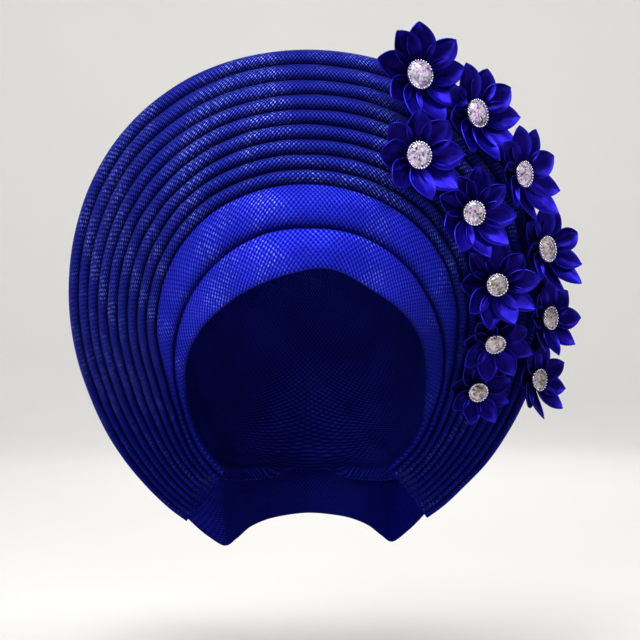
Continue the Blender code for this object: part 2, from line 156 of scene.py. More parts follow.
def smooth(xs, ys, x):
    """Cubic through the table's points, without overshoot at a turn."""
    last = len(xs) - 1
    if x <= xs[0]:
        i = 0
    elif x >= xs[-1]:
        i = last - 1
    else:
        i = max(k for k in range(last) if xs[k] <= x)

    def slope(k):
        if k == 0:
            return (ys[1] - ys[0]) / (xs[1] - xs[0])
        if k == last:
            return (ys[-1] - ys[-2]) / (xs[-1] - xs[-2])
        a = (ys[k] - ys[k - 1]) / (xs[k] - xs[k - 1])
        b = (ys[k + 1] - ys[k]) / (xs[k + 1] - xs[k])
        if a * b <= 0:
            return 0.0
        return 2 * a * b / (a + b)

    h = xs[i + 1] - xs[i]
    t = (x - xs[i]) / h
    if t < 0 or t > 1:
        end = 0 if t < 0 else last
        return ys[end] + slope(end) * (x - xs[end])
    return ((2 * t**3 - 3 * t**2 + 1) * ys[i]
            + (t**3 - 2 * t**2 + t) * h * slope(i)
            + (3 * t**2 - 2 * t**3) * ys[i + 1]
            + (t**3 - t**2) * h * slope(i + 1))


FOLD_ROWS = row_dicts(FOLD_COLUMNS, FOLDS)
FOLD_ANGLES = [row["angle"] for row in FOLD_ROWS]
CROWN_ROWS = row_dicts(CROWN_COLUMNS, CROWN)
CROWN_ANGLES = [row["angle"] for row in CROWN_ROWS]
TIE_ROWS = row_dicts(TIE_COLUMNS, TIE)


def fold_at(angle):
    return {name: smooth(FOLD_ANGLES, [row[name] for row in FOLD_ROWS], angle)
            for name in FOLD_COLUMNS[1:]}


def crown_at(angle):
    return {name: smooth(CROWN_ANGLES, [row[name] for row in CROWN_ROWS],
                         abs(angle))
            for name in CROWN_COLUMNS[1:]}


def reach(y):
    return 1.0 + y / -FACING_POINT[1]


def place(angle, radius, y):
    """Point at a true radius and depth on the ray of this angle."""
    k = reach(y)
    cx = FACING_POINT[0] + (FAN_CENTRE[0] - FACING_POINT[0]) * k
    cz = FACING_POINT[2] + (FAN_CENTRE[1] - FACING_POINT[2]) * k
    a = math.radians(angle)
    return Vector((cx + radius * math.sin(a), y, cz + radius * math.cos(a)))


def ray(x, y, z):
    """Point at depth y seen at (x, z) on the middle plane."""
    k = reach(y)
    return Vector((FACING_POINT[0] + (x - FACING_POINT[0]) * k, y,
                   FACING_POINT[2] + (z - FACING_POINT[2]) * k))


def lump(x, y, z=0.0):
    """Soft noise from about -1 to 1, the same in every run."""
    return noise.noise(Vector((x + 31.7, y - 12.3, z + 5.1)))


def ease(x, a, b):
    t = min(1.0, max(0.0, (x - a) / (b - a)))
    return t * t * (3 - 2 * t)


class Section:
    """The fold line of one ray: depth against seen radius, and its frame."""

    def __init__(self, angle):
        self.angle = angle
        row = fold_at(angle)
        self.row = row
        half = 0.5 * (row["upper"] + row["rim"])
        self.rs = [row["hem"], row["brow"], row["upper"], half, row["rim"]]
        self.ys = [row["y_hem"], row["y_brow"], row["y_upper"],
                   row["y_upper"] + DISH * (row["y_rim"] - row["y_upper"]),
                   row["y_rim"]]
        self.pitch = self.chord(row["upper"], row["rim"]) / PLEATS
        self.step = STEP_BASE + STEP_SHARE * self.pitch
        self.lap = max(0.0, LAP_SHARE * (self.pitch - LAP_FROM))

    def line(self, r):
        y = smooth(self.rs, self.ys, r)
        return Vector((r * reach(y), y))

    def chord(self, r0, r1, parts=6):
        pts = [self.line(r0 + (r1 - r0) * i / parts)
               for i in range(parts + 1)]
        return sum((b - a).length for a, b in zip(pts, pts[1:]))

    def fold(self, r0, r1, points):
        """Sectional points of local (along, out) ones between two radii."""
        length = self.chord(r0, r1)
        pts = []
        for along, out in points:
            r = r0 + (r1 - r0) * along / length
            here = self.line(r)
            ahead = self.line(r + 0.5) - self.line(r - 0.5)
            ahead.normalize()
            pts.append(here + out * Vector((ahead.y, -ahead.x)))
        return pts


def spline(points, counts):
    """Catmull-Rom curve through the points; counts[i] parts to segment i.
    Also says at which index each of the points is."""
    out, at = [], [0]
    last = len(points) - 1
    for i in range(last):
        a = points[max(i - 1, 0)]
        b, c = points[i], points[i + 1]
        d = points[min(i + 2, last)]
        n = counts[i]
        for k in range(n):
            t = k / n
            out.append(0.5 * ((2 * b) + (c - a) * t
                              + (2 * a - 5 * b + 4 * c - d) * t * t
                              + (3 * b - a - 3 * c + d) * t ** 3))
        at.append(len(out))
    out.append(points[-1].copy())
    return out, at


def two_sides(line, thickness):
    """Both faces of a wall along a 2-D middle line."""
    left, right = [], []
    for i, p in enumerate(line):
        a = (line[i] - line[i - 1]).normalized() if i else None
        b = ((line[i + 1] - line[i]).normalized()
             if i + 1 < len(line) else None)
        a, b = a or b, b or a
        n = Vector((-a.y, a.x)) + Vector((-b.y, b.x))
        n *= min(2.0 / max(n.length_squared, 1e-9), 1.2)
        left.append(p + n * thickness / 2)
        right.append(p - n * thickness / 2)
    return left, right


# ------------------------------------------------------------------- meshes
def build_mesh(name, verts, faces, uvs=None, sharp=55.0, flat=False):
    mesh = bpy.data.meshes.new(name)
    mesh.from_pydata([tuple(v * MM) for v in verts], [], faces)
    if uvs is not None:
        layer = mesh.uv_layers.new(name="weave")
        flatlist = []
        for face in uvs:
            for u, v in face:
                flatlist += (u * MM, v * MM)
        layer.data.foreach_set("uv", flatlist)
    mesh.update()
    if not flat:
        mesh.shade_smooth()
        mesh.set_sharp_from_angle(angle=math.radians(sharp))
    obj = bpy.data.objects.new(name, mesh)
    bpy.context.scene.collection.objects.link(obj)
    return obj


def wall(name, front, back, uv, loop=False, poles=None, tone=None,
         drawn_and_shade=None):
    """Closed cloth between two grids, front[i][j] and back[i][j].
    uv(i, j, column) gives the place in the weave, in millimetres, tone for
    each column how open it is to the light, painted as shade in the cloth's
    colour, and the last argument for each row how tightly its mesh is pulled
    together and how deep it lies in painted shade, all from 0 to 1.
    With loop the rows join into a ring that closes on the two poles."""
    rows, cols = len(front), len(front[0])
    verts = [p for line in front for p in line]
    verts += [p for line in back for p in line]
    other = rows * cols
    faces, uvs = [], []

    def add(quad, column):
        faces.append([side * other + (i % rows) * cols + j
                      for side, i, j in quad])
        uvs.append([uv(i, j, column) for side, i, j in quad])

    for i in range(rows if loop else rows - 1):
        for j in range(cols - 1):
            add(((0, i, j), (0, i + 1, j), (0, i + 1, j + 1), (0, i, j + 1)),
                j)
            add(((1, i, j), (1, i, j + 1), (1, i + 1, j + 1), (1, i + 1, j)),
                j)
        add(((0, i, 0), (1, i, 0), (1, i + 1, 0), (0, i + 1, 0)), 0)
        if not loop:
            add(((0, i, cols - 1), (0, i + 1, cols - 1),
                 (1, i + 1, cols - 1), (1, i, cols - 1)), cols - 2)
    if loop:
        for side, pole in enumerate(poles):
            verts.append(pole)
            for i in range(rows):
                k = (i + 1) % rows
                ring = (side * other + i * cols + cols - 1,
                        side * other + k * cols + cols - 1)
                ends = [uv(i, cols - 1, cols - 2), uv(k, cols - 1, cols - 2)]
                if side:
                    ring, ends = ring[::-1], ends[::-1]
                faces.append((*ring, len(verts) - 1))
                uvs.append([*ends, (0.0, 0.0)])
    else:
        for j in range(cols - 1):
            add(((0, 0, j), (0, 0, j + 1), (1, 0, j + 1), (1, 0, j)), j)
            add(((0, rows - 1, j), (1, rows - 1, j), (1, rows - 1, j + 1),
                 (0, rows - 1, j + 1)), j)
    obj = build_mesh(name, verts, faces, uvs)
    if tone is None:
        tone = [1.0] * cols
    # the fold attribute carries tone, painted shade for the cloth's colour
    fold = obj.data.attributes.new("fold", "FLOAT", "POINT")
    values = list(tone) * (2 * rows)
    values += [1.0] * (len(verts) - len(values))
    fold.data.foreach_set("value", values)
    if drawn_and_shade is None:
        drawn_and_shade = [0.0] * rows
    # this attribute carries how far each row is pulled together, and its painted
    # shade
    tight_and_shade = obj.data.attributes.new("drawn_and_shade", "FLOAT", "POINT")
    values = [share for share in drawn_and_shade for _ in range(cols)] * 2
    values += [0.0] * (len(verts) - len(values))
    tight_and_shade.data.foreach_set("value", values)
    return obj


def lengths(points):
    total, out = 0.0, [0.0]
    for a, b in zip(points, points[1:]):
        total += (b - a).length
        out.append(total)
    return out


def running(grid, column, middle):
    """Length along a column of the grid, 0 at row middle."""
    out = lengths([row[column] for row in grid])
    return [value - out[middle] for value in out]


# ------------------------------------------------------------ folded fronts
def stations(step):
    count = int(round(2 * FAN_END / step))
    return [-FAN_END + 2 * FAN_END * i / count for i in range(count + 1)]


def brow_points(length, s):
    e, leg = min(1.4, 0.28 * length), s.step - 1.6
    flat = length - 2 * e
    tail = min(8.0, 0.38 * flat)
    puff = min(1.5, 0.06 * length)
    return ((e + tail, -leg), (e, -leg), (0.25, -0.55 * leg),
            (e, -0.08 * leg), (e + 0.30 * flat, puff),
            (e + 0.66 * flat, 0.9 * puff), (length - e, -0.12 * leg),
            (length - 0.35, -0.55 * leg), (length - e, -leg),
            (length - e - tail, -leg))


def upper_points(length, s):
    e, leg, h = min(1.4, 0.28 * length), s.step - 1.6, s.step
    lead = min(7.0, 0.5 * s.chord(s.row["hem"], s.row["brow"]))
    tail = max(length - 9.5, 0.63 * length)
    puff = min(1.0, 0.03 * length)
    return ((-lead, -h), (0.75, -0.92 * h), (0.6 + 0.13 * length, -0.42 * h),
            (0.38 * length, -0.04 * h), (0.64 * length, puff),
            (length - e, -0.12 * h), (length - 0.4, -0.5 * leg),
            (length - 0.7, -0.88 * leg), (tail, -leg))


def pleat_points(d, s, k):
    """A rolled pleat, fullest near its outer edge, and tucked under it.
    Where the folds are gathered it is pressed flat, some more than others."""
    h = s.step
    full = 1.0 + 0.10 * lump(s.angle * 0.045, k * 7.3)
    left = FAN_END - abs(s.angle)
    flat = 1.0 - (0.62 + 0.25 * lump(k * 3.3, 0.02 * s.angle, 4.0)) * (
        1 - ease(left, 0.0, 15.0 + 6.0 * lump(k * 2.1, s.angle * 0.01)))
    points = ((0.50 + 0.03 * d, -0.95 * h), (0.45 + 0.09 * d, -0.50 * h),
              (0.15 + 0.26 * d, -0.05 * h * full),
              (0.56 * d, 0.16 * h * full), (0.85 * d - 0.1, -0.03 * h),
              (d - 0.20, -0.43 * h),
              (d - 0.75 * flat - 0.9 * s.lap, -0.82 * h))
    return [(along, (out + 0.45 * h) * flat - 0.45 * h)
            for along, out in points]


def band(name, points_of, low, high, step, counts, wave, node, shade=0.0,
         full=1.0):
    """One fold of the front; shade is how far its hem in painted shade reaches,
    as a share of the way from its roll to its crest, and full how open it is to
    the light, painted as shade over the whole fold."""
    front, back, mids = [], [], []
    angles = stations(step)
    for angle in angles:
        s = Section(angle)
        r0, r1 = s.row[low], s.row[high]
        pts = s.fold(r0, r1, points_of(s.chord(r0, r1), s))
        line, at = spline(pts, counts)
        size = min(1.0, (r1 - r0) / 20.0)
        for j, p in enumerate(line):
            show = ease(j, at[2], at[3]) * (1 - ease(j, at[-4], at[-3]))
            p.y -= wave * size * show * (
                lump(angle * 0.05, j * 0.11, 2.0)
                + 0.5 * lump(angle * 0.16, j * 0.2, 6.0))
        left, right = two_sides(line, CLOTH)
        front.append([place(angle, p.x, p.y) for p in left])
        back.append([place(angle, p.x, p.y) for p in right])
        mids.append((line, at))
    middle = len(angles) // 2
    ref = at[5]
    us = running(front, ref, middle)
    vs = []
    for line, at in mids:
        run = lengths(line)
        vs.append([value - run[at[2]] for value in run])
    at = mids[0][1]
    # painted shade at the hem and where the fold is tucked in, and over the whole
    # fold where full is below 1
    open_at = at[3] + shade * (at[4] - at[3])
    tone = [0.15 + (full - 0.15) * ease(j, at[1], open_at)
            * (1 - ease(j, at[-4], at[-2])) for j in range(len(front[0]))]
    obj = wall(name, front, back, lambda i, j, c: (us[i], vs[i][j]),
               tone=tone, drawn_and_shade=[drawn_and_shade_in(angle, 43.0) for angle in angles])
    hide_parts(node)
    return obj


def drawn_and_shade_in(angle, start=30.0):
    """How far the cloth is pulled together on its way to the gathers, and how
    deep it lies in painted shade, sooner on the side of the flowers, where it
    begins at the angle start."""
    if angle > 0:
        return ease(angle, start, 88.0)
    return ease(-angle, 58.0, 118.0)


# painted shade across a pleat: how open to the light it is, from its groove to
# where it is tucked in
PLEAT_PAINTED_SHADE = (0.0, 0.10, 0.42, 0.86, 1.0, 0.80, 0.15)


def pleated_fan(name, step=1.1, parts=(2, 3, 3, 3, 3, 2, 1)):
    front, back, mids = [], [], []
    angles = stations(step)
    for angle in angles:
        s = Section(angle)
        r0, r1 = s.row["upper"], s.row["rim"]
        lead = min(4.0, s.chord(s.row["brow"], r0) - 2.3)
        width = (r1 - r0) / PLEATS
        edges = [r0]
        for k in range(1, PLEATS):
            edges.append(r0 + width * (k + 0.10 * lump(angle * 0.035, k * 5.1)
                                       + 0.04 * lump(angle * 0.13, k * 3.7)))
        edges.append(r1)
        pts = s.fold(r0, r0 + width, ((-lead, -s.step),))
        for k in range(PLEATS):
            d = s.chord(edges[k], edges[k + 1])
            pts += s.fold(edges[k], edges[k + 1], pleat_points(d, s, k))
        d = s.chord(edges[-2], edges[-1])
        pts += s.fold(edges[-2], r1,
                      ((d - 1.4 - 2.2 * s.lap, -0.97 * s.step),))
        counts = [2] + list(parts) * PLEATS
        line, at = spline(pts, counts)
        # the ends dip back to the strip that they are sewn to
        dip = 1 - ease(FAN_END - abs(angle), 0.0, 5.0)
        for j, p in enumerate(line):
            k = (j - 2) / sum(parts)
            p.y -= 0.30 * lump(angle * 0.10, k * 2.0, 9.0)
            p.y += 0.90 * dip * max(0.0, 20.4 - p.y)
        left, right = two_sides(line, CLOTH)
        front.append([place(angle, p.x, p.y) for p in left])
        back.append([place(angle, p.x, p.y) for p in right])
        mids.append(line)
    middle = len(angles) // 2
    per = sum(parts)
    nose = sum(parts[:4])
    us = [running(front, 2 + k * per + nose, middle) for k in range(PLEATS)]
    runs = [lengths(line) for line in mids]

    def uv(i, j, column):
        k = min(PLEATS - 1, max(0, (column - 2) // per))
        at = 2 + k * per + nose
        return us[k][i], runs[i][j] - runs[i][at] + 3.1 * k

    # painted shade across each pleat, darkest in its groove
    tone = [0.0] * 2
    for k in range(PLEATS):
        for n, count in enumerate(parts):
            a = PLEAT_PAINTED_SHADE[n]
            b = PLEAT_PAINTED_SHADE[(n + 1) % len(PLEAT_PAINTED_SHADE)]
            tone += [a + (b - a) * i / count for i in range(count)]
    tone.append(0.0)
    obj = wall(name, front, back, uv, tone=tone,
               drawn_and_shade=[drawn_and_shade_in(angle) for angle in angles])
    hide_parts("pleated_fan")
    return obj


# ------------------------------------------------------------ crown and tie
def crown_wrap(name, around=200, down=44):
    front, back, arcs = [], [], []
    for i in range(around):
        angle = -180.0 + 360.0 * i / around
        row = crown_at(angle)
        line = []
        for j in range(down + 1):
            v = (j / down) ** 1.1 * math.pi / 2
            v = min(v, math.pi / 2 - 0.012)
            p = 2.0 / row["round"]
            r = row["radius"] * math.cos(v) ** p
            y = row["y"] + (CROWN_BACK_Y - row["y"]) * math.sin(v) ** p
            line.append(Vector((r, y)))
        # soft drawn folds that run round the wrap, none at its edge
        left, right = two_sides(line, CLOTH)
        if left[0].x < right[0].x:
            left, right = right, left
        for j, (a, b) in enumerate(zip(left, right)):
            n = (a - b).normalized()
            share = j / down
            show = ease(share, 0.05, 0.3) * (1 - ease(share, 0.82, 1.0))
            turn = math.radians(angle)
            move = show * (0.9 * lump(1.4 * math.sin(turn),
                                      1.4 * math.cos(turn), share * 9.0)
                           - 0.35)
            a += n * move
            b += n * move
        # its edge is tucked in behind the front folds and into the strip
        size = abs(angle)
        tuck = ease(size, 86, 102) * (1 - ease(size, 135, 140))
        hang = ease(size, 128, 138) * (1 - ease(size, 158, 172))
        s = Section(math.copysign(min(size, FAN_END), angle))
        lead = min(7.0, 0.5 * s.chord(s.row["hem"], s.row["brow"]))
        move = tuck * (Vector((s.row["brow"] - lead - 0.9,
                               s.row["y_hem"] + s.step - 0.65)) - line[0])
        for side, grid in ((left, front), (right, back)):
            row = []
            for j, p in enumerate(side):
                share = 1 - ease(j, 0, 5)
                p = p + move * share
                row.append(place(angle, p.x, p.y)
                           - Vector((0, 0, 6.5 * hang * share)))
            grid.append(row)
        run = lengths(line)
        arcs.append([run[-1] + line[-1].x - value for value in run])

    def uv(i, j, column):
        a = math.radians(-180.0 + 360.0 * i / around)
        r = arcs[i % around][j]
        return r * math.sin(a), r * math.cos(a)

    poles = [sum((line[-1] for line in grid), Vector()) / around
             for grid in (front, back)]
    obj = wall(name, front, back, uv, loop=True, poles=poles)
    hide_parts("crown_wrap")
    return obj


def tie_at(t):
    """Upper and lower edge of the strip at station t, from 0 to 14."""
    xs = list(range(len(TIE_ROWS)))
    got = {c: smooth(xs, [r[c] for r in TIE_ROWS], t) for c in TIE_COLUMNS}
    return (Vector((got["x_top"], got["y_top"], got["z_top"])),
            Vector((got["x_low"], got["y_low"], got["z_low"])))


def nape_tie(name, parts=12, across=22):
    count = (len(TIE_ROWS) - 1) * parts
    mid = []
    for i in range(count + 1):
        top, low = tie_at(i / parts)
        mid.append([top.lerp(low, j / across) for j in range(across + 1)])
    front, back = [], []
    for i in range(count + 1):
        f, b = [], []
        t = i / parts
        ends = 1 - ease(t, 0.0, 4.5) * (1 - ease(t, 9.5, 14.0))
        for j in range(across + 1):
            along = (mid[min(i + 1, count)][j] - mid[max(i - 1, 0)][j])
            over = mid[i][min(j + 1, across)] - mid[i][max(j - 1, 0)]
            n = along.cross(over).normalized()
            share = j / across
            edge = math.sin(math.pi * share) ** 0.5
            ripple = (0.55 * math.sin(2 * math.pi * (share * 5.2 + 0.03 * t))
                      * (0.3 + ends)
                      + 0.7 * lump(share * 3.0, t * 0.45, 3.0))
            p = mid[i][j] + n * 0.55 * ripple * edge
            # both ends lie against the back of the pleats
            p.y -= 1.2 * (1 - ease(t, 0.6, 2.2) + ease(t, 11.8, 13.4))
            f.append(p + n * 0.5)
            b.append(p - n * 0.5)
        front.append(f)
        back.append(b)
    us = running(front, across // 2, count // 2)
    vs = [lengths(row) for row in front]
    # the strip lies in painted shade, deeper towards its end at +X
    obj = wall(name, front, back, lambda i, j, c: (us[i], vs[i][j]),
               drawn_and_shade=[0.4 + 0.6 * ease(i, 0.55 * count, 0.8 * count)
                      for i in range(count + 1)])
    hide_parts("nape_tie")
    return obj


# ------------------------------------------------------------------ flowers
def petal_width(s):
    """Half width of a petal against the way out, as a share of the widest."""
    if s < 0.56:
        return 0.20 + 0.80 * math.sin(0.5 * math.pi * s / 0.56) ** 1.6
    t = min(1.0, (s - 0.56) / 0.44)
    return (1.0 - t ** 1.9) ** 0.88


def petal(rng, radius, half, angle, height, lean, verts, faces, uvs, rims,
          ns=18, nt=12, thick=0.45):
    """One cupped ribbon petal, folded up along its rims to a pointed tip."""
    length = radius * rng.uniform(0.94, 1.08)
    wide = half * rng.uniform(0.96, 1.18)
    # the petals that hang are bent up more, and so face the light
    hang = 0.5 - 0.5 * math.cos(angle)
    cup = rng.uniform(0.08, 0.19) * radius * (1 - 0.75 * hang)
    rise = (rng.uniform(0.18, 0.30) + 0.30 * hang) * radius
    curl = rng.uniform(0.03, 0.10) * radius
    crease = rng.uniform(0.01, 0.06) * radius * (1 - 0.8 * hang)
    lean *= 1 - 0.6 * hang
    bend = rng.uniform(-0.06, 0.06)
    twist = rng.uniform(-0.10, 0.10)
    phase = rng.uniform(0, 50)
    grid = []
    for i in range(ns + 1):
        s = (i / ns) ** 0.9
        w = wide * petal_width(s)
        row = []
        for j in range(nt + 1):
            t = 2.0 * j / nt - 1.0
            x = w * t
            y = length * (0.07 + 0.93 * s) - 0.03 * length * t * t * (1 - s)
            belly = math.sin(math.pi * min(1.0, 0.08 + 0.94 * s)) ** 0.7
            z = (height + rise * s ** 2.1 + cup * belly * abs(t) ** 2.2
                 + curl * belly * abs(t) ** 7
                 - crease * (1 - abs(t)) ** 5 * belly
                 + (lean + twist * s) * x
                 + 0.018 * radius * lump(t * 1.3 + phase, s * 3.0, phase))
            x += bend * length * s * s
            row.append(Vector((x, y, z)))
        grid.append(row)
    normals = []
    for i in range(ns + 1):
        row = []
        for j in range(nt + 1):
            a = grid[min(i + 1, ns)][j] - grid[max(i - 1, 0)][j]
            b = grid[i][min(j + 1, nt)] - grid[i][max(j - 1, 0)]
            n = b.cross(a)
            if n.length < 1e-6:
                k = i - 1
                a = grid[i][j] - grid[k][j]
                b = grid[k][min(j + 1, nt)] - grid[k][max(j - 1, 0)]
                n = b.cross(a)
            row.append(n.normalized())
        normals.append(row)
    c, d = math.cos(angle), math.sin(angle)

    def turn(p):
        return Vector((p.x * c + p.y * d, -p.x * d + p.y * c, p.z))

    base = len(verts)
    wide_row = nt + 1
    for side in (0.0, -thick):
        for i in range(ns + 1):
            for j in range(nt + 1):
                verts.append(turn(grid[i][j] + normals[i][j] * side))
                # where the painted rim highlight goes: along the edges and at the
                # tip
                rims.append(max(abs(2.0 * j / nt - 1.0) * ease(i, 1, 7),
                                i / ns))
    other = (ns + 1) * wide_row

    def add(quad):
        faces.append([base + side * other + i * wide_row + j
                      for side, i, j in quad])
        uvs.append([(wide * (2.0 * j / nt - 1.0) + phase,
                     length * i / ns + phase) for side, i, j in quad])

    for i in range(ns):
        for j in range(nt):
            add(((0, i, j), (0, i, j + 1), (0, i + 1, j + 1), (0, i + 1, j)))
            add(((1, i, j), (1, i + 1, j), (1, i + 1, j + 1), (1, i, j + 1)))
        add(((0, i, 0), (0, i + 1, 0), (1, i + 1, 0), (1, i, 0)))
        add(((0, i, nt), (1, i, nt), (1, i + 1, nt), (0, i + 1, nt)))
    for j in range(nt):
        add(((0, 0, j), (1, 0, j), (1, 0, j + 1), (0, 0, j + 1)))
        add(((0, ns, j), (0, ns, j + 1), (1, ns, j + 1), (1, ns, j)))


def flower(number, row):
    rng = random.Random(400 + number)
    radius, count = 1.05 * row["radius"], row["petals"]
    step = 2 * math.pi / count
    half = 0.74 * radius * math.sin(step / 2)
    low = ease(number, 4.0, 9.0)
    verts, faces, uvs, rims, painted_sheens = [], [], [], [], []
    for k in range(count):
        angle = math.radians(row["spin"]) + step * k + rng.uniform(-0.10, 0.10)
        height = (0.012 if k % 2 else -0.02) * radius
        petal(rng, radius, half, angle, height, 0.16, verts, faces, uvs, rims)
        # painted highlight on the petals that hang, painted shade on the others,
        # more on the lower flowers
        hang = (0.5 - 0.5 * math.cos(angle)) ** 2.5
        painted_sheen = (0.16 * (1 - 0.7 * low)
                 + 0.80 * hang * (1 - 0.65 * low) * rng.uniform(0.7, 1.15))
        painted_sheens += [painted_sheen] * (len(verts) - len(painted_sheens))
    obj = build_mesh("petals_%02d" % number, verts, faces, uvs, sharp=70.0)
    rim = obj.data.attributes.new("rim", "FLOAT", "POINT")
    rim.data.foreach_set("value", rims)
    painted_sheen_layer = obj.data.attributes.new("painted_sheen", "FLOAT", "POINT")
    painted_sheen_layer.data.foreach_set("value", painted_sheens)
    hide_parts("flower_%02d" % number)
    return obj


SETTING_HEIGHT = 3.2


def setting(number, row):
    """Cup with a milled wall and a row of beads round its mouth."""
    rim = row["stone"] / 2
    verts, faces = [], []
    sides = 48
    profile = ((0.02, 0.0), (0.80 * rim, 0.0), (0.93 * rim, 0.8),
               (rim - 0.15, 1.5), (rim - 0.15, 2.3), (rim - 0.45, 2.7),
               (rim - 1.0, 2.65), (rim - 1.05, 1.4), (0.02, 1.2))
    for r, z in profile:
        for i in range(sides):
            a = 2 * math.pi * i / sides
            verts.append(Vector((r * math.cos(a), r * math.sin(a), z)))
    for k in range(len(profile) - 1):
        for i in range(sides):
            n = (i + 1) % sides
            faces.append((k * sides + i, k * sides + n,
                          (k + 1) * sides + n, (k + 1) * sides + i))
    beads = int(round(2 * math.pi * (rim - 0.6) / 1.75))
    size = 0.62
    for b in range(beads):
        a = 2 * math.pi * b / beads
        centre = Vector(((rim - 0.62) * math.cos(a),
                         (rim - 0.62) * math.sin(a), 2.95))
        base = len(verts)
        rings, turns = 5, 8
        verts.append(centre + Vector((0, 0, size)))
        for i in range(1, rings):
            p = math.pi * i / rings
            for j in range(turns):
                q = 2 * math.pi * j / turns
                verts.append(centre + size * Vector(
                    (math.sin(p) * math.cos(q), math.sin(p) * math.sin(q),
                     math.cos(p))))
        verts.append(centre - Vector((0, 0, size)))
        end = len(verts) - 1
        for j in range(turns):
            n = (j + 1) % turns
            faces.append((base, base + 1 + j, base + 1 + n))
            for i in range(rings - 2):
                p0 = base + 1 + i * turns
                faces.append((p0 + j, p0 + turns + j, p0 + turns + n, p0 + n))
            p0 = base + 1 + (rings - 2) * turns
            faces.append((p0 + j, end, p0 + n))
    obj = build_mesh("bead_rim_%02d" % number, verts, faces, sharp=50.0)
    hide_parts("setting_%02d" % number)
    return obj


def stone(number, row):
    """Round brilliant: table, star, kite and girdle facets, each its own tint, a
    painted reflection that makes it bright or dark.
    """
    rng = random.Random(900 + number)
    gem = row["stone"] / 2 - 1.15
    top = SETTING_HEIGHT + 0.24 * gem
    rings = ((0.30, top, 8, 0.0), (0.56, top - 0.06 * gem, 16, 0.5),
             (0.80, SETTING_HEIGHT - 0.15 + 0.10 * gem, 16, 0.0),
             (1.0, SETTING_HEIGHT - 0.45, 32, 0.0),
             (0.96, 1.7, 32, 0.0))
    verts, where = [], []
    for share, z, sides, shift in rings:
        where.append((len(verts), sides, shift))
        for i in range(sides):
            a = 2 * math.pi * (i + shift) / sides
            verts.append(Vector((share * gem * math.cos(a),
                                 share * gem * math.sin(a), z)))
    tip = len(verts)
    verts.append(Vector((0, 0, top + 0.01)))
    floor = len(verts)
    verts.append(Vector((0, 0, 1.6)))
    faces = []
    b0, n0, _ = where[0]
    for i in range(n0):
        faces.append((tip, b0 + i, b0 + (i + 1) % n0))
    for (a, na, sa), (b, nb, sb) in zip(where, where[1:]):
        fine = nb
        share = nb // na
        for i in range(fine):
            n = (i + 1) % fine
            if share == 1:
                if sa != sb:
                    faces.append((a + i, b + i, b + n))
                    faces.append((a + i, b + n, a + (i + 1) % na))
                else:
                    faces.append((a + i, b + i, b + n, a + (i + 1) % na))
            else:
                k = (i // share) % na
                faces.append((a + k, b + i, b + n))
                if i % share == share - 1:
                    faces.append((a + k, b + n, a + (k + 1) % na))
    b4, n4, _ = where[-1]
    for i in range(n4):
        faces.append((floor, b4 + (i + 1) % n4, b4 + i))
    obj = build_mesh("rhinestone_%02d" % number, verts, faces, flat=True)
    tint = obj.data.attributes.new("facet", "FLOAT_COLOR", "FACE")
    # painted reflections: each facet gets a bright or dark tint of its own; the
    # upper stones look lilac, the lower ones warmer and greyer, and darker in
    # painted shade
    down = ease(number, 3.0, 8.0)
    colours = []
    for polygon in obj.data.polygons:
        light = rng.choice((0.08, 0.24, 0.45, 0.66, 0.88, 1.0))
        light *= 1.0 - 0.64 * down
        kind = rng.random()
        if kind > 1.0 - 0.24 * down:
            c = (1.0, 0.84, 0.52)
        elif kind < 0.26 - 0.12 * down:
            c = (0.98, 0.55, 1.0)
        elif kind < 0.54 - 0.34 * down:
            c = (0.70, 0.58, 1.0)
        elif kind < 0.60 - 0.34 * down:
            c = (0.60, 0.92, 1.0)
        else:
            c = (0.84, 0.78, 1.0)
        c = (c[0] + 0.10 * down, c[1] + 0.08 * down, c[2] * (1 - 0.16 * down))
        colours += [light * c[0], light * c[1], light * c[2], 1.0]
    tint.data.foreach_set("color", colours)
    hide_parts("crystal_%02d" % number)
    return obj


# ---------------------------------------------------------------- materials
class Graph:
    """Short hand for wiring a material's nodes."""

    def __init__(self, name):
        self.mat = bpy.data.materials.new(name)
        self.mat.use_nodes = True
        self.tree = self.mat.node_tree
        self.shader = self.tree.nodes["Principled BSDF"]

    def node(self, kind, **settings):
        node = self.tree.nodes.new(kind)
        for key, value in settings.items():
            setattr(node, key, value)
        return node

    def link(self, a, b):
        self.tree.links.new(a, b)

    def feed(self, socket, value):
        if isinstance(value, bpy.types.NodeSocket):
            self.link(value, socket)
        else:
            socket.default_value = value

    def math(self, kind, a, b=0.0, c=None):
        node = self.node("ShaderNodeMath", operation=kind)
        self.feed(node.inputs[0], a)
        self.feed(node.inputs[1], b)
        if c is not None:
            self.feed(node.inputs[2], c)
        return node.outputs[0]

    def ramp(self, value, low, high, out_low=0.0, out_high=1.0):
        node = self.node("ShaderNodeMapRange",
                         interpolation_type="SMOOTHSTEP")
        self.feed(node.inputs["Value"], value)
        node.inputs["From Min"].default_value = low
        node.inputs["From Max"].default_value = high
        node.inputs["To Min"].default_value = out_low
        node.inputs["To Max"].default_value = out_high
        return node.outputs["Result"]

    def mix(self, share, a, b, kind="MIX"):
        node = self.node("ShaderNodeMix", data_type="RGBA", blend_type=kind)
        self.feed(node.inputs[0], share)
        self.feed(node.inputs[6], a)
        self.feed(node.inputs[7], b)
        return node.outputs[2]

    def noise(self, vector, scale, detail=2.0, rough=0.5):
        node = self.node("ShaderNodeTexNoise")
        if vector is not None:
            self.link(vector, node.inputs["Vector"])
        node.inputs["Scale"].default_value = scale
        node.inputs["Detail"].default_value = detail
        node.inputs["Roughness"].default_value = rough
        return node

    def set(self, **values):
        for key, value in values.items():
            self.feed(self.shader.inputs[key.replace("_", " ")], value)


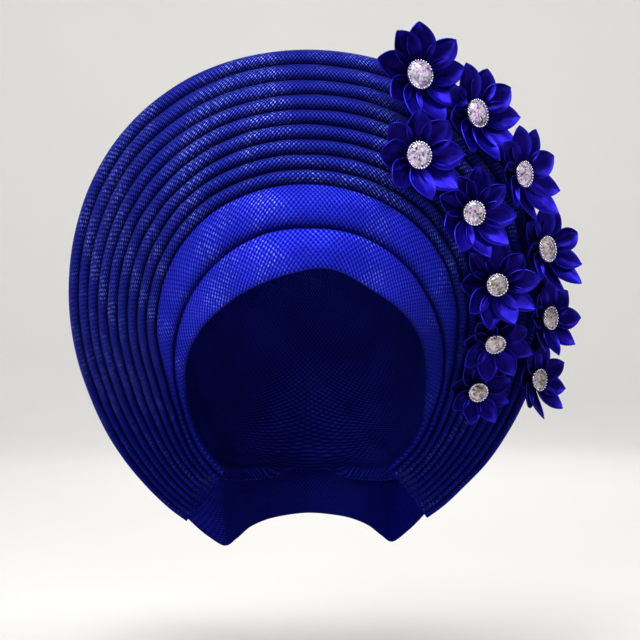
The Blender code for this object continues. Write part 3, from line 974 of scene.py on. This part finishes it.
def mesh_cloth(name, mesh, thread, ground, glint, rare, metal=0.45,
               gloss=0.12):
    """Diamond mesh of metal thread.  mesh is the size of a diamond in
    millimetres, thread and ground are how blue a thread and what lies between
    the threads are, set lighter or darker for a lit or a shaded copy, glint how
    pale its painted glints, and rare how few there are."""
    g = Graph(name)
    uv = g.node("ShaderNodeUVMap", uv_map="weave").outputs[0]
    # the threads wander a little
    wander = g.noise(uv, 70.0, 1.0)
    off = g.node("ShaderNodeVectorMath", operation="SUBTRACT")
    g.link(wander.outputs["Color"], off.inputs[0])
    off.inputs[1].default_value = (0.5, 0.5, 0.5)
    amount = g.node("ShaderNodeVectorMath", operation="SCALE")
    g.link(off.outputs[0], amount.inputs[0])
    amount.inputs["Scale"].default_value = 0.0012
    moved = g.node("ShaderNodeVectorMath", operation="ADD")
    g.link(uv, moved.inputs[0])
    g.link(amount.outputs[0], moved.inputs[1])
    split = g.node("ShaderNodeSeparateXYZ")
    g.link(moved.outputs[0], split.inputs[0])
    u, v = split.outputs[0], split.outputs[1]
    # the threads keep their direction while the fold bends away from it, so
    # the mesh leans more and more against the fold on both sides
    lean = g.ramp(u, -0.085, 0.085, -0.75, 0.75)
    p = g.math("DIVIDE", u, mesh * MM)
    q = g.math("DIVIDE", v, mesh * MM)
    a = g.math("MULTIPLY_ADD", q, g.math("EXPONENT", lean), p)
    b = g.math("SUBTRACT", p, g.math(
        "MULTIPLY", q, g.math("EXPONENT", g.math("MULTIPLY", lean, -1.0))))
    ta = g.ramp(g.math("PINGPONG", a, 0.5), 0.45, 0.04)
    tb = g.ramp(g.math("PINGPONG", b, 0.5), 0.45, 0.04)
    # on each side of the front one set of threads is painted brighter, as the
    # set that catches the light there, and shows as rows of dashes where the
    # other set lifts it
    side = g.ramp(u, -0.035, 0.035)
    row_a = g.math("MULTIPLY", ta, g.math("MULTIPLY_ADD", tb, 0.55, 0.45))
    row_b = g.math("MULTIPLY", tb, g.math("MULTIPLY_ADD", ta, 0.55, 0.45))
    lit = g.math("MULTIPLY_ADD", side, g.math("SUBTRACT", row_a, row_b),
                 row_b)
    patch = g.noise(uv, 34.0, 2.0)
    grain = g.noise(uv, 420.0, 1.0)
    spark = g.math("MULTIPLY", g.ramp(lit, 0.35, 0.95),
                   g.ramp(grain.outputs["Fac"], 0.38, 0.64))
    spark = g.math("MULTIPLY", spark, g.ramp(patch.outputs["Fac"],
                                             rare, rare + 0.24))
    tone = g.noise(uv, 28.0, 3.0)
    shade = g.ramp(tone.outputs["Fac"], 0.3, 0.7, 0.0, 1.0)
    deep = g.mix(shade, (0.0006, 0.0010, 0.85 * ground, 1),
                 (0.0010, 0.0018, 1.15 * ground, 1))
    high = g.mix(shade, (0.044 * thread, 0.062 * thread, 0.88 * thread, 1),
                 (0.066 * thread, 0.092 * thread, 1.12 * thread, 1))
    # pulled together, the threads close up and lose their shine; the same mix is
    # painted shade on the side of the flowers and on the tie, and dims the
    # painted glints there
    drawn_and_shade = g.node("ShaderNodeAttribute", attribute_name="drawn_and_shade")
    deep = g.mix(drawn_and_shade.outputs["Fac"], deep,
                 (0.0010, 0.0018, 0.045 + 0.07 * thread, 1))
    high = g.mix(drawn_and_shade.outputs["Fac"], high,
                 (0.008 * thread, 0.013 * thread, 0.07 + 0.24 * thread, 1))
    spark = g.math("MULTIPLY", spark,
                   g.math("MULTIPLY_ADD", drawn_and_shade.outputs["Fac"], -0.85, 1.0))
    colour = g.mix(lit, deep, high)
    # painted glints: pale blue dots in the base colour, in patches where the
    # threads catch the light
    colour = g.mix(spark, colour, (glint, 1.35 * glint, 0.95, 1))
    # painted shade in the grooves and tucks of the folds, lifted where the cloth
    # is pulled together
    fold = g.node("ShaderNodeAttribute", attribute_name="fold")
    depth = g.ramp(fold.outputs["Fac"], 0.0, 0.9, 0.14, 1.0)
    depth = g.math("MAXIMUM", depth,
                   g.math("MULTIPLY", drawn_and_shade.outputs["Fac"], 0.55))
    colour = g.mix(depth, (0.0002, 0.0002, 0.012, 1), colour)
    rough = g.math("MULTIPLY_ADD", lit, -0.16, 0.50)
    fine = g.noise(uv, 3200.0, 1.0)
    height = g.math("MULTIPLY_ADD", fine.outputs["Fac"], 0.12,
                    g.math("MAXIMUM", ta, tb))
    bump = g.node("ShaderNodeBump")
    bump.inputs["Strength"].default_value = 0.70
    bump.inputs["Distance"].default_value = 0.0005
    g.link(height, bump.inputs["Height"])
    g.link(bump.outputs[0], g.shader.inputs["Normal"])
    g.set(Base_Color=colour, Roughness=rough, Metallic=metal)
    g.shader.inputs["Specular IOR Level"].default_value = gloss
    g.shader.inputs["Specular Tint"].default_value = (0.08, 0.15, 1.0, 1.0)
    return g.mat


def satin(name):
    g = Graph(name)
    uv = g.node("ShaderNodeUVMap", uv_map="weave").outputs[0]
    stretch = g.node("ShaderNodeVectorMath", operation="MULTIPLY")
    g.link(uv, stretch.inputs[0])
    stretch.inputs[1].default_value = (1.0, 0.14, 1.0)
    fibre = g.noise(stretch.outputs[0], 2600.0, 2.0)
    tone = g.noise(uv, 110.0, 2.0)
    # painted highlight and shade: petals that hang, and face the light, get a
    # lighter blue; the upper petals, and more so those of the lower flowers, a
    # darker one
    painted_sheen = g.node("ShaderNodeAttribute", attribute_name="painted_sheen")
    share = g.math("MULTIPLY", painted_sheen.outputs["Fac"],
                   g.ramp(tone.outputs["Fac"], 0.3, 0.7, 0.75, 1.25))
    colour = g.mix(share, (0.0024, 0.0004, 0.050, 1),
                   (0.014, 0.0070, 0.40, 1))
    colour = g.mix(g.ramp(fibre.outputs["Fac"], 0.35, 0.75, 0.0, 0.10),
                   colour, (0.012, 0.008, 0.35, 1))
    # painted highlight: a paler blue along the melted rims and at the tips, where
    # they catch the light
    rim = g.node("ShaderNodeAttribute", attribute_name="rim")
    colour = g.mix(g.ramp(rim.outputs["Fac"], 0.78, 1.0, 0.0, 0.36),
                   colour, (0.03, 0.025, 0.75, 1))
    crumple = g.noise(uv, 160.0, 2.0)
    height = g.math("MULTIPLY_ADD", fibre.outputs["Fac"], 0.05,
                    crumple.outputs["Fac"])
    bump = g.node("ShaderNodeBump")
    bump.inputs["Strength"].default_value = 0.35
    bump.inputs["Distance"].default_value = 0.0009
    g.link(height, bump.inputs["Height"])
    g.link(bump.outputs[0], g.shader.inputs["Normal"])
    g.set(Base_Color=colour,
          Roughness=g.ramp(fibre.outputs["Fac"], 0.2, 0.8, 0.33, 0.42),
          Metallic=0.80)
    g.shader.inputs["Specular IOR Level"].default_value = 0.25
    g.shader.inputs["Specular Tint"].default_value = (0.35, 0.32, 1.0, 1.0)
    return g.mat


def beaded_metal(name):
    g = Graph(name)
    where = g.node("ShaderNodeTexCoord").outputs["Object"]
    tarnish = g.noise(where, 420.0, 3.0)
    colour = g.mix(g.ramp(tarnish.outputs["Fac"], 0.35, 0.7),
                   (0.80, 0.79, 0.84, 1), (0.50, 0.48, 0.52, 1))
    g.set(Base_Color=colour, Metallic=1.0,
          Roughness=g.ramp(tarnish.outputs["Fac"], 0.3, 0.7, 0.18, 0.34))
    return g.mat


def crystal(name):
    g = Graph(name)
    facet = g.node("ShaderNodeAttribute", attribute_name="facet")
    where = g.node("ShaderNodeTexCoord").outputs["Object"]
    # painted iridescence: pale pink patches over the facets
    film = g.noise(where, 260.0, 1.0)
    colour = g.mix(g.ramp(film.outputs["Fac"], 0.35, 0.65, 0.0, 0.35),
                   facet.outputs["Color"], (0.98, 0.80, 0.97, 1))
    g.set(Base_Color=colour, Roughness=0.10, Metallic=0.45,
          Coat_Weight=0.5, Coat_Roughness=0.02)
    g.shader.inputs["IOR"].default_value = 1.6
    return g.mat


def pale(name, low, high):
    g = Graph(name)
    where = g.node("ShaderNodeTexCoord").outputs["Object"]
    grain = g.noise(where, 3.0, 3.0)
    g.set(Base_Color=g.mix(grain.outputs["Fac"], low, high), Roughness=0.85)
    return g.mat


# ---------------------------------------------------------------- the scene
def main():
    # one mesh cloth in lit and shaded copies: the bands get the lit copy, the
    # pleats a darker copy, partly painted shade, and the crown's inside and the
    # tie a copy in painted shade
    lit_mesh = mesh_cloth("royal_mesh_lit", 3.3, 0.60, 0.36, 0.20, 0.47)
    deep_mesh = mesh_cloth("royal_mesh_pleated", 2.7, 0.40, 0.08, 0.20, 0.43)
    shaded_mesh = mesh_cloth("royal_mesh_shaded", 3.3, 0.20, 0.09, 0.02, 1.20,
                            metal=0.10, gloss=0.0)
    ribbon = satin("folded_ribbon_satin")
    metal = beaded_metal("bright_beaded_metal")
    glass = crystal("iridescent_crystal")

    brow = band("brow_fold", brow_points, "hem", "brow", 1.1,
                (2, 3, 3, 6, 8, 6, 3, 3, 2), 0.5, "brow_band", shade=0.85)
    upper = band("upper_fold", upper_points, "brow", "upper", 1.1,
                 (3, 3, 5, 6, 6, 4, 3, 3), 0.6, "upper_band", full=0.66)
    fan = pleated_fan("rolled_pleats")
    crown = crown_wrap("crown_cloth")
    tie = nape_tie("tie_strip")
    for obj, cloth in ((brow, lit_mesh), (upper, lit_mesh), (fan, deep_mesh),
                       (crown, shaded_mesh), (tie, shaded_mesh)):
        obj.data.materials.append(cloth)
        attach(obj, "root")

    for number, row in enumerate(row_dicts(FLOWER_COLUMNS, FLOWERS), 1):
        turn, tip = math.radians(row["turn"]), math.radians(row["tip"])
        facing = Vector((math.sin(turn) * math.cos(tip),
                         -math.cos(turn) * math.cos(tip), -math.sin(tip)))
        across = Vector((0, 0, 1)).cross(facing).normalized()
        up = facing.cross(across)
        spot = Matrix((across, up, facing)).transposed().to_4x4()
        top = ray(row["x"], row["y"], row["z"])
        lift = 0.085 * row["radius"] + GAP
        spot.translation = (top - facing * (lift + SETTING_HEIGHT)) * MM
        seat = spot @ Matrix.Translation(Vector((0, 0, lift)) * MM)
        for obj, at, mat, slot in (
                (flower(number, row), spot, ribbon, "ribbon_satin"),
                (setting(number, row), seat, metal, "stone_setting"),
                (stone(number, row), seat, glass, "rhinestone")):
            obj.data.transform(at)
            obj.data.materials.append(mat)
            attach(obj, "root")


def backdrop():
    """Pale floor that turns up into a round wall."""
    profile = [(0.0, -0.30), (0.6, -0.30), (1.2, -0.30), (1.7, -0.30)]
    for k in range(1, 9):
        a = math.pi / 2 * k / 8
        profile.append((1.7 + 0.8 * math.sin(a), -0.30 + 0.8 - 0.8 * math.cos(a)))
    profile.append((2.5, 3.0))
    sides = 72
    verts, faces = [], []
    for r, z in profile:
        for i in range(sides):
            a = 2 * math.pi * i / sides
            verts.append(Vector((r * math.cos(a), r * math.sin(a), z)) / MM)
    for k in range(len(profile) - 1):
        for i in range(sides):
            n = (i + 1) % sides
            faces.append((k * sides + i, k * sides + n,
                          (k + 1) * sides + n, (k + 1) * sides + i))
    obj = build_mesh("pale_floor", verts, faces, sharp=180.0)
    obj.data.materials.append(pale("pale_plaster", (0.80, 0.79, 0.77, 1),
                                   (0.84, 0.83, 0.81, 1)))


def area_light(name, at, target, size, power, colour=(1, 1, 1)):
    data = bpy.data.lights.new(name, "AREA")
    data.shape = "RECTANGLE"
    data.size, data.size_y = size
    data.energy = power
    data.color = colour
    obj = bpy.data.objects.new(name, data)
    bpy.context.scene.collection.objects.link(obj)
    obj.location = at
    away = Vector(at) - Vector(target)
    obj.rotation_euler = away.to_track_quat("Z", "Y").to_euler()
    return obj


def light_and_camera():
    scene = bpy.context.scene
    world = bpy.data.worlds.new("soft_world")
    scene.world = world
    world.use_nodes = True
    background = world.node_tree.nodes["Background"]
    background.inputs["Color"].default_value = (0.95, 0.97, 1.0, 1.0)
    background.inputs["Strength"].default_value = 0.24
    area_light("overhead", (-0.35, -0.62, 1.00), (0.0, -0.05, -0.02),
               (0.8, 0.6), 15.0)
    area_light("overhead_right", (0.42, -0.45, 0.98), (0.08, -0.04, 0.0),
               (0.45, 0.40), 7.0)
    area_light("front", (-0.80, -1.30, 0.50), (-0.02, -0.05, -0.02),
               (0.7, 0.7), 7.0)
    area_light("side", (1.25, -0.75, 0.45), (0.06, -0.03, -0.03),
               (0.6, 0.8), 0.5)
    area_light("behind", (0.2, 1.4, 0.8), (0.0, 0.0, 0.0),
               (0.9, 0.9), 6.0)
    area_light("wall_wash", (0.0, 1.0, 1.1), (0.0, 2.5, 0.15),
               (1.4, 0.4), 8.0)
    scene.view_settings.view_transform = "Standard"
    scene.view_settings.look = "None"
    data = bpy.data.cameras.new("camera")
    data.sensor_width = 36.0
    data.lens = 74.1
    camera = bpy.data.objects.new("camera", data)
    scene.collection.objects.link(camera)
    camera.location = (0.007, -0.800, -0.069)
    camera.rotation_euler = (math.pi / 2, 0.0, 0.0)
    data.clip_start = 0.01
    scene.camera = camera


main()
backdrop()
light_and_camera()
bpy.context.view_layer.update()
